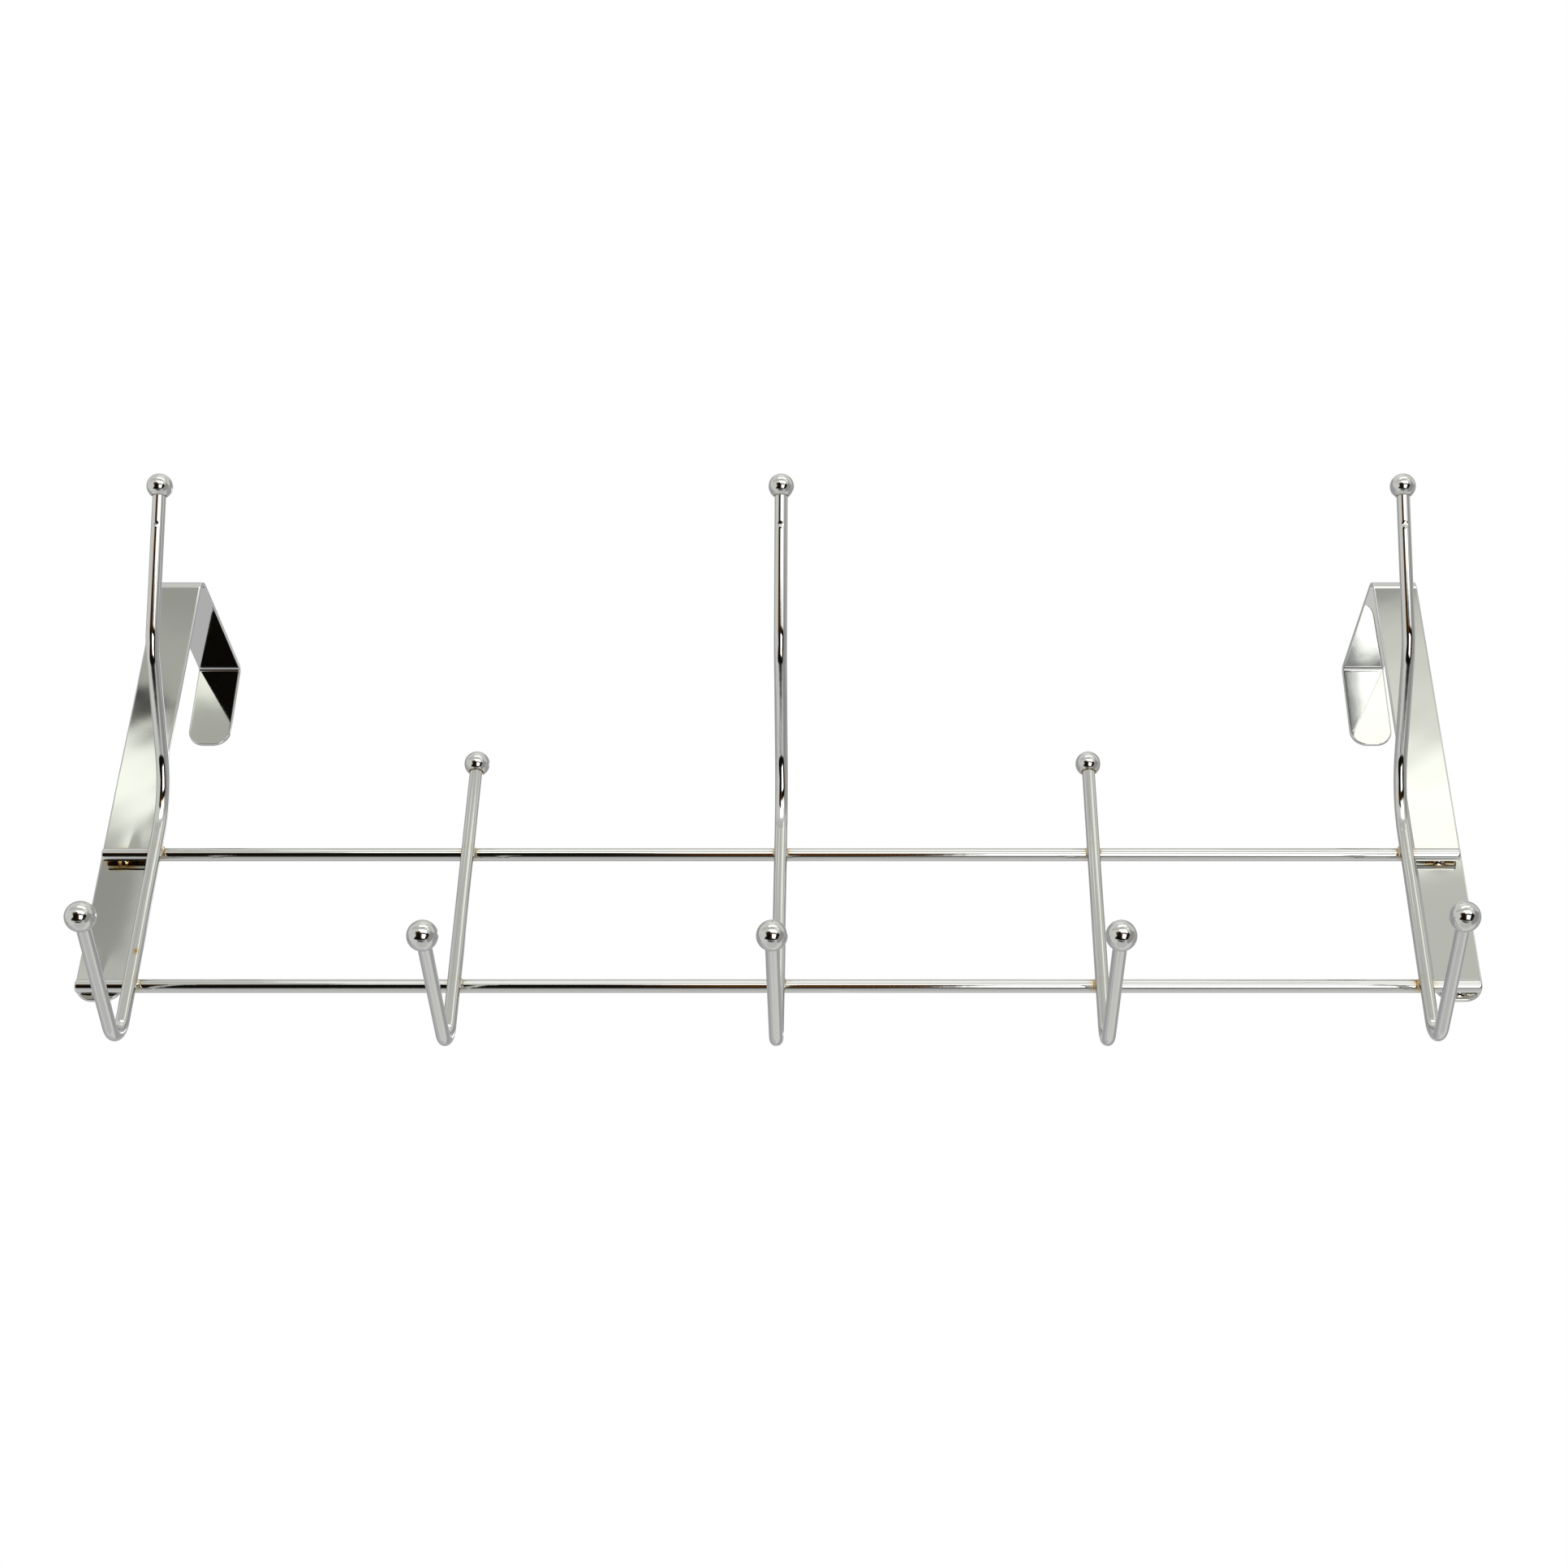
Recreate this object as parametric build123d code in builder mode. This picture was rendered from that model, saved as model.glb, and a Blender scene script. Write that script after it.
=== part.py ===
"""Over-door hook rack of welded wire, in millimetres.

X runs along the rails, Y from the room into the door and Z up. The origin lies on the top
front edge of the door, midway between the two straps: the straps' back faces are at Y = 0
and the underside of their shelves is at Z = 0.
"""

import os
from dataclasses import dataclass
from math import cos, isclose, radians, sin

from build123d import *

# Wire, shared by the rails and the hooks
WIRE_D = 3.6

# Straps: one strip each, folded over the door
STRAP_W = 13.0
STRAP_T = 1.2
STRAP_SPAN = 375.4
DOOR_GAP = 46.0
LEG_BELOW_RAIL = 2.9
LIP_LENGTH = 27.3
LIP_FLARE = 3.0
FRONT_BEND_R = 3.0
BACK_BEND_R = 1.0
END_CORNER_R = 5.0
EDGE_BREAK = 0.2
SEAM_MATCH = 0.001

# Embossed pips that hold the rails off the straps
PIP_FOOT_D = 3.6
PIP_TOP_D = 2.2
PIP_HEIGHT = 0.8
PIP_SET = 0.25

# Rails
TOP_RAIL_DROP = 95.6
RAIL_PITCH = 40.0
RAIL_INSET = 1.4
RAIL_END_BREAK = 0.5

# Crossing welds between hooks and rails
WELD_SET = 0.3
WELD_D = 4.3
WELD_T = 1.6

# Hooks: the lower bend lies below the bottom rail, and the upper heights are above the top rail
END_HOOK_CLEAR = 1.9
LOW_BEND_DROP = 20.8
LOW_BEND_R = 6.0
LOW_REACH = 45.3
LOW_RISE_INNER = 14.7
LOW_RISE_END = 23.3
LEAN_START = 17.2
LEAN_LENGTH = 42.5
LEAN_ANGLE = 47.5
LEAN_BEND_R = 28.0
TIP_LENGTH = 44.6
TIP_ANGLE = 22.8
TIP_BEND_R = 22.0
SHORT_RISE = 27.3

# Ball ends, bored and set on the wire
UPPER_BALL_D = 7.0
LOWER_BALL_D = 7.8
SOCKET_PAST_CENTRE = 0.6
SOCKET_CLEAR = 0.05

# Places worked out from the sizes above
WIRE_R = WIRE_D / 2
SOCKET_R = WIRE_R + SOCKET_CLEAR
STRAP_X = (STRAP_SPAN - STRAP_W) / 2
RAIL_LENGTH = STRAP_SPAN - 2 * RAIL_INSET
RAIL_Y = -(STRAP_T + PIP_HEIGHT + WIRE_R)
RAIL_Z = {"top_rail": -TOP_RAIL_DROP, "bottom_rail": -TOP_RAIL_DROP - RAIL_PITCH}
LEG_LENGTH = LEG_BELOW_RAIL - RAIL_Z["bottom_rail"]
HOOK_Y = RAIL_Y - (WIRE_D - WELD_SET)
WELD_Y = (RAIL_Y + HOOK_Y) / 2
END_HOOK_X = STRAP_SPAN / 2 - STRAP_W - END_HOOK_CLEAR - WIRE_R

# How a solid lies on the plane that places it
ON_BASE = (Align.CENTER, Align.CENTER, Align.MIN)
UNDER_TOP = (Align.CENTER, Align.CENTER, Align.MAX)


@dataclass
class HookPlan:
    """One double hook: its name, place along the rails, lower rise and upper form."""

    name: str
    x: float
    low_rise: float
    tall: bool


HOOKS = (
    HookPlan("left_end", -END_HOOK_X, LOW_RISE_END, True),
    HookPlan("left_inner", -END_HOOK_X / 2, LOW_RISE_INNER, False),
    HookPlan("centre", 0.0, LOW_RISE_INNER, True),
    HookPlan("right_inner", END_HOOK_X / 2, LOW_RISE_INNER, False),
    HookPlan("right_end", END_HOOK_X, LOW_RISE_END, True),
)

os.makedirs("parts", exist_ok=True)


def save(piece: Part, name: str) -> None:
    """Label a finished piece and write it under its node's name."""
    piece.label = name
    export_step(piece, f"parts/{name}.step")


def out_and_up(start: tuple[float, float], length: float, rise: float) -> tuple[float, float]:
    """A point in the hook's plane, the given length from start, rise degrees above level."""
    return start[0] - length * cos(radians(rise)), start[1] + length * sin(radians(rise))


def is_seam(edge: Edge) -> bool:
    """Whether an edge only crosses the strip's width or thickness, where two flat runs and a bend meet."""
    return any(isclose(edge.length, size, abs_tol=SEAM_MATCH) for size in (STRAP_W, STRAP_T))


# Straps: a flat section carried along the fold, from the leg's end to the lip's end
lip_lean = radians(LIP_FLARE)
back_corner = (DOOR_GAP + STRAP_T / 2 * (1 - sin(lip_lean)) / cos(lip_lean), STRAP_T / 2)
lip_run = LIP_LENGTH + STRAP_T / 2
lip_end = (back_corner[0] + lip_run * sin(lip_lean), back_corner[1] - lip_run * cos(lip_lean))
fold = (
    (-STRAP_T / 2, -LEG_LENGTH),
    (-STRAP_T / 2, STRAP_T / 2),
    back_corner,
    lip_end,
)

for name, strap_x in (("strap_left", -STRAP_X), ("strap_right", STRAP_X)):
    with BuildPart() as strap:
        with BuildLine(Plane.YZ.offset(strap_x)) as fold_line:
            FilletPolyline(*fold, radius=[FRONT_BEND_R + STRAP_T / 2, BACK_BEND_R + STRAP_T / 2])
        with BuildSketch(Plane.XY.offset(-LEG_LENGTH)):
            with Locations((strap_x, -STRAP_T / 2)):
                Rectangle(STRAP_W, STRAP_T)
        sweep(path=fold_line.line)
        for end_point in (fold[0], fold[-1]):
            end_face = strap.faces().sort_by_distance((strap_x, *end_point))[0]
            fillet(end_face.edges().sort_by(SortBy.LENGTH)[:2], END_CORNER_R)
        chamfer([edge for edge in strap.edges() if not is_seam(edge)], EDGE_BREAK)
        back_pips = [Plane((strap_x, 0, rail_z), z_dir=(0, -1, 0)) for rail_z in RAIL_Z.values()]
        front_pips = [plane.offset(STRAP_T) for plane in back_pips]
        for planes, pip_mode in ((back_pips, Mode.SUBTRACT), (front_pips, Mode.ADD)):
            with Locations(*planes):
                Cone(PIP_FOOT_D / 2, PIP_TOP_D / 2, PIP_HEIGHT + PIP_SET, align=ON_BASE, mode=pip_mode)
        with BuildSketch(Plane.YZ.offset(strap_x - STRAP_W / 2)):
            with Locations([(RAIL_Y, rail_z) for rail_z in RAIL_Z.values()]):
                Circle(WIRE_R)
        extrude(amount=STRAP_W, mode=Mode.SUBTRACT)
    save(strap.part, name)

# Rails: straight wire with the upset metal of each crossing weld and the hook's seat in it
for name, rail_z in RAIL_Z.items():
    with BuildPart() as rail:
        with BuildSketch(Plane.YZ.offset(-RAIL_LENGTH / 2)):
            with Locations((RAIL_Y, rail_z)):
                Circle(WIRE_R)
        extrude(amount=RAIL_LENGTH)
        chamfer(rail.edges().filter_by(GeomType.CIRCLE), RAIL_END_BREAK)
        with Locations([(hook.x, WELD_Y, rail_z) for hook in HOOKS]):
            Cylinder(WELD_D / 2, WELD_T, rotation=(90, 0, 0))
        with Locations([(hook.x, HOOK_Y, rail_z) for hook in HOOKS]):
            Cylinder(WIRE_R, 2 * WIRE_D, mode=Mode.SUBTRACT)
    save(rail.part, name)

# Hooks with their ball ends: round wire bent in one upright plane
top_rail_z = RAIL_Z["top_rail"]
for hook in HOOKS:
    low_corner = (HOOK_Y, RAIL_Z["bottom_rail"] - LOW_BEND_DROP)
    low_tip = out_and_up(low_corner, LOW_REACH, hook.low_rise)
    if hook.tall:
        lean_corner = (HOOK_Y, top_rail_z + LEAN_START)
        tip_corner = out_and_up(lean_corner, LEAN_LENGTH, 90 - LEAN_ANGLE)
        high_tip = out_and_up(tip_corner, TIP_LENGTH, 90 - TIP_ANGLE)
        middle = (low_corner, lean_corner, tip_corner)
        bend_radii = [LOW_BEND_R, LEAN_BEND_R, TIP_BEND_R]
    else:
        high_tip = (HOOK_Y, top_rail_z + SHORT_RISE)
        middle = (low_corner,)
        bend_radii = [LOW_BEND_R]

    hook_plane = Plane.YZ.offset(hook.x)
    with BuildPart() as wire:
        with BuildLine(hook_plane) as run:
            FilletPolyline(low_tip, *middle, high_tip, radius=bend_radii)
        low_end = Plane(run.line @ 0, z_dir=-(run.line % 0))
        high_end = Plane(run.line @ 1, z_dir=run.line % 1)
        with BuildSketch(low_end):
            Circle(WIRE_R)
        sweep(path=run.line)
        for end in (low_end, high_end):
            with BuildSketch(end):
                Circle(WIRE_R)
            extrude(amount=SOCKET_PAST_CENTRE)
    save(wire.part, f"hook_{hook.name}")

    for level, end, ball_d in (("lower", low_end, LOWER_BALL_D), ("upper", high_end, UPPER_BALL_D)):
        with BuildPart(end) as ball:
            Sphere(ball_d / 2)
            with Locations((0, 0, SOCKET_PAST_CENTRE)):
                Cylinder(SOCKET_R, ball_d, align=UNDER_TOP, mode=Mode.SUBTRACT)
        save(ball.part, f"{level}_ball_{hook.name}")
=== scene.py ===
"""Looks of an over-door rack of chrome-plated steel wire and strip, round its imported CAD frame.

Objects are in metres in the CAD's frame: X along the rails, Y from the room into the door, Z up and
the origin on the door's top front edge, midway between the straps. Sizes written here are in
millimetres and angles in degrees, and each function turns them into metres and radians.
"""

import logging
import math
from dataclasses import dataclass
from enum import Enum

import bpy
import numpy as np
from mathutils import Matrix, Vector

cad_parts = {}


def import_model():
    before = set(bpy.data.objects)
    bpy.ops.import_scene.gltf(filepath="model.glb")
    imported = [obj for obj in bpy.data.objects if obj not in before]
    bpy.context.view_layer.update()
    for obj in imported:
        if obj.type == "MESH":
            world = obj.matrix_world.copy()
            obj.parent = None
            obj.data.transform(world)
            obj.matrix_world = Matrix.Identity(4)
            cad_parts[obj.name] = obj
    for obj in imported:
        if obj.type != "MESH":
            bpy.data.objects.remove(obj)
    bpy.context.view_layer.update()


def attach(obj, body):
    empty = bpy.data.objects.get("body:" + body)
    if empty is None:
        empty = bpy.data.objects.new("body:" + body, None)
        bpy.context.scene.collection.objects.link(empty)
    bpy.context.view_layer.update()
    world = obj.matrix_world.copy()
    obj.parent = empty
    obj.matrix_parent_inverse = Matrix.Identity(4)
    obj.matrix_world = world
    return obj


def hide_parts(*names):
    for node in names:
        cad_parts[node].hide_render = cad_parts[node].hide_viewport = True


LOG = logging.getLogger("rack")

MM = 0.001
MICRON = 1e-6
BODY = "root"

# Point attributes that materials read: weld heat on the rack, with painted shade at the balls'
# mouths, and light on the tent
HEAT_AND_SHADE_NAME = "weld_heat_and_shade"
GLOW_NAME = "glow"

# Rows of a grid that lie nearer than this, in millimetres or degrees, become one
CLOSEST = 0.01

# Colours that several parts of the studio share
WHITE = "#FFFFFF"
DARK_ROOM = "#16130F"
WARM_WOOD = "#C07A2E"

AXIS_X = np.array([1.0, 0.0, 0.0])
AXIS_Y = np.array([0.0, 1.0, 0.0])
AXIS_Z = np.array([0.0, 0.0, 1.0])

# Sizes that several pieces share, as the CAD has them
WIRE_R = 1.8
STRAP_X = 181.2
STRAP_T = 1.2
RAIL_Y = -3.8
HOOK_Y = -7.1
WELD_Y = (RAIL_Y + HOOK_Y) / 2
TOP_RAIL_Z = -95.6
BOTTOM_RAIL_Z = -135.6
RAIL_HEIGHTS = (TOP_RAIL_Z, BOTTOM_RAIL_Z)
END_HOOK_X = 171.0
HOOK_PLACES = (-END_HOOK_X, -END_HOOK_X / 2, 0.0, END_HOOK_X / 2, END_HOOK_X)


def linear(code: str, level: float = 1.0) -> tuple[float, float, float, float]:
    """Turn an sRGB hex colour into linear light.

    Args:
        code: The colour as #RRGGBB.
        level: A factor on its light.

    Returns:
        Red, green, blue and an alpha of one.
    """
    shares = [int(code[i : i + 2], 16) / 255 for i in (1, 3, 5)]
    light = [c / 12.92 if c <= 0.04045 else ((c + 0.055) / 1.055) ** 2.4 for c in shares]
    return (light[0] * level, light[1] * level, light[2] * level, 1.0)


def smooth_step(
    low: float | np.ndarray, high: float | np.ndarray, value: np.ndarray
) -> np.ndarray:
    """Rise from 0 at low to 1 at high by the cubic 3t squared minus 2t cubed.

    Args:
        low: Where the rise starts; it may lie above high, and then the step falls.
        high: Where it ends.
        value: The values to step.

    Returns:
        The stepped values.
    """
    share = np.clip((value - low) / (high - low), 0.0, 1.0)
    return share * share * (3.0 - 2.0 * share)


def graded(*spans: tuple[float, float, float]) -> np.ndarray:
    """Merge evenly spaced spans into one rising list.

    Args:
        spans: First value, last value and greatest step of each span.

    Returns:
        All the values in rising order, without those too close to the one before.
    """
    parts = [np.linspace(a, b, max(2, math.ceil((b - a) / step) + 1)) for a, b, step in spans]
    values = np.sort(np.concatenate(parts))
    keep = np.concatenate([[True], np.diff(values) > CLOSEST])
    return values[keep]


@dataclass
class Surface:
    """A closed surface: points in millimetres, quads, triangles and a heat value at each point:
    weld stain, and at the balls' mouths painted shade as well.
    """

    points: np.ndarray
    quads: np.ndarray
    triangles: np.ndarray
    heat: np.ndarray

    def joined(self, other: "Surface") -> "Surface":
        """Put two closed surfaces into one mesh.

        Args:
            other: The surface that is added.

        Returns:
            A surface with the points and faces of both.
        """
        shift = len(self.points)
        return Surface(
            np.concatenate([self.points, other.points]),
            np.concatenate([self.quads, other.quads + shift]),
            np.concatenate([self.triangles, other.triangles + shift]),
            np.concatenate([self.heat, other.heat]),
        )


@dataclass(frozen=True)
class BentLine:
    """A line of straight runs joined by tangent arcs in an upright plane of Y and Z."""

    starts: np.ndarray
    places: np.ndarray
    headings: np.ndarray
    curves: np.ndarray
    length: float

    @classmethod
    def through(cls, corners: list[tuple[float, float]], radii: list[float]) -> "BentLine":
        """Round the corners of a polyline.

        An arc of radius r that turns by t starts and ends r times the tangent of t/2 from its
        corner and is r times t long, so runs and arcs follow from the corners' headings alone.

        Args:
            corners: The polyline's points as (Y, Z).
            radii: The bend radius at each inner corner.

        Returns:
            The rounded line.
        """
        points, bends = np.array(corners), np.array(radii)
        steps = np.diff(points, axis=0)
        runs = np.hypot(steps[:, 0], steps[:, 1])
        along = steps / runs[:, None]
        headings = np.arctan2(steps[:, 1], steps[:, 0])
        turns = (np.diff(headings) + math.pi) % (2 * math.pi) - math.pi
        trims = bends * np.tan(np.abs(turns) / 2)
        before, after = np.concatenate([[0.0], trims]), np.concatenate([trims, [0.0]])
        count = 2 * len(runs) - 1
        lengths, first = np.empty(count), np.empty((count, 2))
        first_headings, curves = np.empty(count), np.zeros(count)
        lengths[0::2], lengths[1::2] = runs - before - after, bends * np.abs(turns)
        first[0::2] = points[:-1] + before[:, None] * along
        first[1::2] = points[1:-1] - trims[:, None] * along[:-1]
        first_headings[0::2], first_headings[1::2] = headings, headings[:-1]
        curves[1::2] = np.sign(turns) / bends
        ends = np.cumsum(lengths)
        return cls(ends - lengths, first, first_headings, curves, float(ends[-1]))

    def at(self, distance: np.ndarray) -> tuple[np.ndarray, np.ndarray]:
        """Find points and headings along the line.

        On a piece of curvature k the heading turns by k times the way l gone on it, and the chord
        to the point has the mean heading and the length l sin(kl/2) / (kl/2).

        Args:
            distance: Distances along the line; those past an end run straight on.

        Returns:
            The points as (Y, Z) rows and the headings in radians from +Y towards +Z.
        """
        piece = np.clip(np.searchsorted(self.starts, distance, side="right") - 1, 0, None)
        way = distance - self.starts[piece]
        turn = self.curves[piece] * way
        middle = self.headings[piece] + turn / 2
        chord = way * np.sinc(turn / (2 * math.pi))
        step = chord[:, None] * np.stack([np.cos(middle), np.sin(middle)], axis=1)
        return self.places[piece] + step, self.headings[piece] + turn


def carried_rings(
    centres: np.ndarray,
    first: np.ndarray,
    second: np.ndarray,
    radii: np.ndarray,
    tips: tuple[np.ndarray, np.ndarray],
) -> Surface:
    """Carry a ring along a path and close its two ends at a point.

    A point is its centre plus its radius times (cosine of its angle along first plus sine along
    second), with the angles evenly spread. First cross second points the way the path runs, so the
    faces look outwards.

    Args:
        centres: The rings' centres, one row each.
        first: The rings' first direction, one row each or one for all.
        second: The rings' second direction, likewise.
        radii: One row of radii for each ring, one column for each point.
        tips: The points that close the path's start and end.

    Returns:
        The closed surface, with no heat.
    """
    rings, sides = radii.shape
    angle = np.linspace(0.0, 2 * math.pi, sides, endpoint=False)
    spread = (
        np.cos(angle)[None, :, None] * np.broadcast_to(first, (rings, 3))[:, None, :]
        + np.sin(angle)[None, :, None] * np.broadcast_to(second, (rings, 3))[:, None, :]
    )
    grid = centres[:, None, :] + radii[:, :, None] * spread
    points = np.concatenate([grid.reshape(-1, 3), np.stack(tips)])
    index = np.arange(rings * sides).reshape(rings, sides)
    onward = np.roll(index, -1, axis=1)
    quads = np.stack([index[:-1], onward[:-1], onward[1:], index[1:]], axis=-1).reshape(-1, 4)
    start, end = np.full(sides, rings * sides), np.full(sides, rings * sides + 1)
    triangles = np.concatenate(
        [
            np.stack([start, onward[0], index[0]], axis=-1),
            np.stack([end, index[-1], onward[-1]], axis=-1),
        ]
    )
    return Surface(points, quads, triangles, np.zeros(len(points)))


def heat_near(points: np.ndarray, welds: np.ndarray, reach: np.ndarray) -> np.ndarray:
    """Find how strongly weld heat marks each point.

    The mark falls off as a bell curve of the distance to the nearest weld, with X, Y and Z each
    measured in its own reach.

    Args:
        points: Points in millimetres.
        welds: The welds' centres in millimetres.
        reach: The distances along X, Y and Z at which the mark has fallen to about a third.

    Returns:
        One value from 0 to 1 for each point.
    """
    squared = (((points[:, None, :] - welds[None, :, :]) / reach) ** 2).sum(axis=2).min(axis=1)
    return np.exp(-squared)


def add_node(
    tree: bpy.types.NodeTree,
    kind: str,
    inputs: dict[str | int, object] | None = None,
    **settings: object,
) -> bpy.types.Node:
    """Add a shader node, set it and link it.

    Args:
        tree: The node tree that it joins.
        kind: The node's type name.
        inputs: Its inputs by name or number; a socket is linked and anything else is set as the
            value.
        settings: The node's own properties.

    Returns:
        The new node.
    """
    node = tree.nodes.new(kind)
    for name, value in settings.items():
        setattr(node, name, value)
    for name, value in (inputs or {}).items():
        if isinstance(value, bpy.types.NodeSocket):
            tree.links.new(value, node.inputs[name])
        else:
            node.inputs[name].default_value = value
    return node


@dataclass(frozen=True)
class ChromePlate:
    """Bright nickel-chrome plate on mild steel, polished before plating.

    The eye sees a clear grey mirror with a faint orange-peel ripple and a fine grain of the steel
    below, and a straw to brown stain where weld heat reached it; where a wire enters a ball the
    same colours also paint shade into the crevice. Sizes are in millimetres and heights in
    micrometres.
    The steel's own grain is a few hundredths of a millimetre, too fine to show, so grain_size draws
    it about ten times as coarse.
    """

    name: str
    roughness: float
    peel_size: float
    peel_height: float
    grain_size: float
    grain_height: float
    peel_detail: float = 1.0
    grain_detail: float = 2.0
    stain_roughness: float = 0.2
    blotch_size: float = 1.2
    blotch_detail: float = 3.0
    blotch_range: tuple[float, float] = (0.3, 0.7)
    blotch_swing: tuple[float, float] = (0.65, 1.15)
    # Clean plate, straw, brown and dark scale, by the strength of the stain; at the balls' mouths
    # they also paint shade
    stain_and_shade_stops: tuple[tuple[float, str], ...] = (
        (0.04, "#C4C5C2"),
        (0.3, "#B9A171"),
        (0.65, "#7A5B34"),
        (1.0, "#3D2A18"),
    )

    def material(self) -> bpy.types.Material:
        """Make the plate's material.

        The heat value at each point, broken up by a noise, picks the stain's colour and dulls the
        mirror; at the balls' mouths that value is partly painted shade. Two noises on object
        coordinates give the ripple and the grain.

        Returns:
            The material.
        """
        made = bpy.data.materials.new(self.name)
        made.use_nodes = True
        tree = made.node_tree
        tree.nodes.clear()
        place = add_node(tree, "ShaderNodeTexCoord").outputs["Object"]
        # The heat value: weld stain, and painted shade at the balls' mouths
        heat = add_node(tree, "ShaderNodeAttribute", attribute_name=HEAT_AND_SHADE_NAME).outputs["Fac"]
        blotch = add_node(
            tree,
            "ShaderNodeTexNoise",
            {"Vector": place, "Scale": 1 / (self.blotch_size * MM), "Detail": self.blotch_detail},
        ).outputs["Fac"]
        swing = add_node(
            tree,
            "ShaderNodeMapRange",
            {
                "Value": blotch,
                "From Min": self.blotch_range[0],
                "From Max": self.blotch_range[1],
                "To Min": self.blotch_swing[0],
                "To Max": self.blotch_swing[1],
            },
        ).outputs["Result"]
        stain = add_node(
            tree, "ShaderNodeMath", {0: heat, 1: swing}, operation="MULTIPLY", use_clamp=True
        ).outputs["Value"]
        colour = add_node(tree, "ShaderNodeValToRGB", {"Fac": stain})
        stops = colour.color_ramp.elements
        while len(stops) < len(self.stain_and_shade_stops):
            stops.new(1.0)
        for stop, (share, code) in zip(stops, self.stain_and_shade_stops):
            stop.position, stop.color = share, linear(code)
        dull = add_node(
            tree,
            "ShaderNodeMapRange",
            {"Value": stain, "To Min": self.roughness, "To Max": self.stain_roughness},
        ).outputs["Result"]
        peel = add_node(
            tree,
            "ShaderNodeTexNoise",
            {"Vector": place, "Scale": 1 / (self.peel_size * MM), "Detail": self.peel_detail},
        ).outputs["Fac"]
        grain = add_node(
            tree,
            "ShaderNodeTexNoise",
            {"Vector": place, "Scale": 1 / (self.grain_size * MM), "Detail": self.grain_detail},
        ).outputs["Fac"]
        ripple = add_node(
            tree,
            "ShaderNodeBump",
            {"Height": peel, "Distance": self.peel_height * MICRON, "Strength": 1.0},
        ).outputs["Normal"]
        relief = add_node(
            tree,
            "ShaderNodeBump",
            {
                "Height": grain,
                "Distance": self.grain_height * MICRON,
                "Strength": 1.0,
                "Normal": ripple,
            },
        ).outputs["Normal"]
        shader = add_node(
            tree,
            "ShaderNodeBsdfPrincipled",
            {
                "Base Color": colour.outputs["Color"],
                "Metallic": 1.0,
                "Roughness": dull,
                "Normal": relief,
            },
        ).outputs["BSDF"]
        add_node(tree, "ShaderNodeOutputMaterial", {"Surface": shader})
        return made


class Finish(Enum):
    """The rack's finishes: the same plate on drawn wire, on rolled strip and on turned balls."""

    # Long bright and dark lines, a little broken up along their edges
    WIRE = ChromePlate(
        "chrome_plate_on_drawn_wire",
        roughness=0.06,
        peel_size=3.0,
        peel_height=6.0,
        grain_size=0.35,
        grain_height=1.2,
    )
    # The clearest mirror, with a long slow ripple
    STRIP = ChromePlate(
        "chrome_plate_on_rolled_strip",
        roughness=0.045,
        peel_size=7.0,
        peel_height=4.0,
        grain_size=0.35,
        grain_height=0.55,
    )
    # A softer gloss, whose small picture of the room has blurred edges
    BALL = ChromePlate(
        "chrome_plate_on_turned_ball",
        roughness=0.1,
        peel_size=2.2,
        peel_height=3.0,
        grain_size=0.3,
        grain_height=0.6,
    )


class Wardrobe:
    """The materials made so far, one for each finish."""

    def __init__(self) -> None:
        """Start with no material made."""
        self._made: dict[Finish, bpy.types.Material] = {}

    def get(self, finish: Finish) -> bpy.types.Material:
        """Give a finish's material, made when first asked for.

        Args:
            finish: The finish.

        Returns:
            Its material.
        """
        if finish not in self._made:
            self._made[finish] = finish.value.material()
        return self._made[finish]


def add_piece(
    name: str, surface: Surface, finish: Finish, wardrobe: Wardrobe, node: str
) -> None:
    """Put a surface into the scene, at the origin and in place of a CAD node.

    Args:
        name: The piece's name.
        surface: Its closed surface, in millimetres.
        finish: Its finish.
        wardrobe: The materials.
        node: The CAD node that it stands for.
    """
    mesh = bpy.data.meshes.new(name)
    faces = surface.quads.tolist() + surface.triangles.tolist()
    mesh.from_pydata((surface.points * MM).tolist(), [], faces)
    mesh.polygons.foreach_set("use_smooth", np.ones(len(faces), dtype=bool))
    heat = mesh.attributes.new(HEAT_AND_SHADE_NAME, "FLOAT", "POINT")
    heat.data.foreach_set("value", surface.heat.astype(np.float32))
    mesh.update()
    piece = bpy.data.objects.new(name, mesh)
    bpy.context.scene.collection.objects.link(piece)
    mesh.materials.append(wardrobe.get(finish))
    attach(piece, BODY)
    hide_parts(node)
    LOG.info("%s: %d faces, in place of %s", name, len(faces), node)


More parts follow.
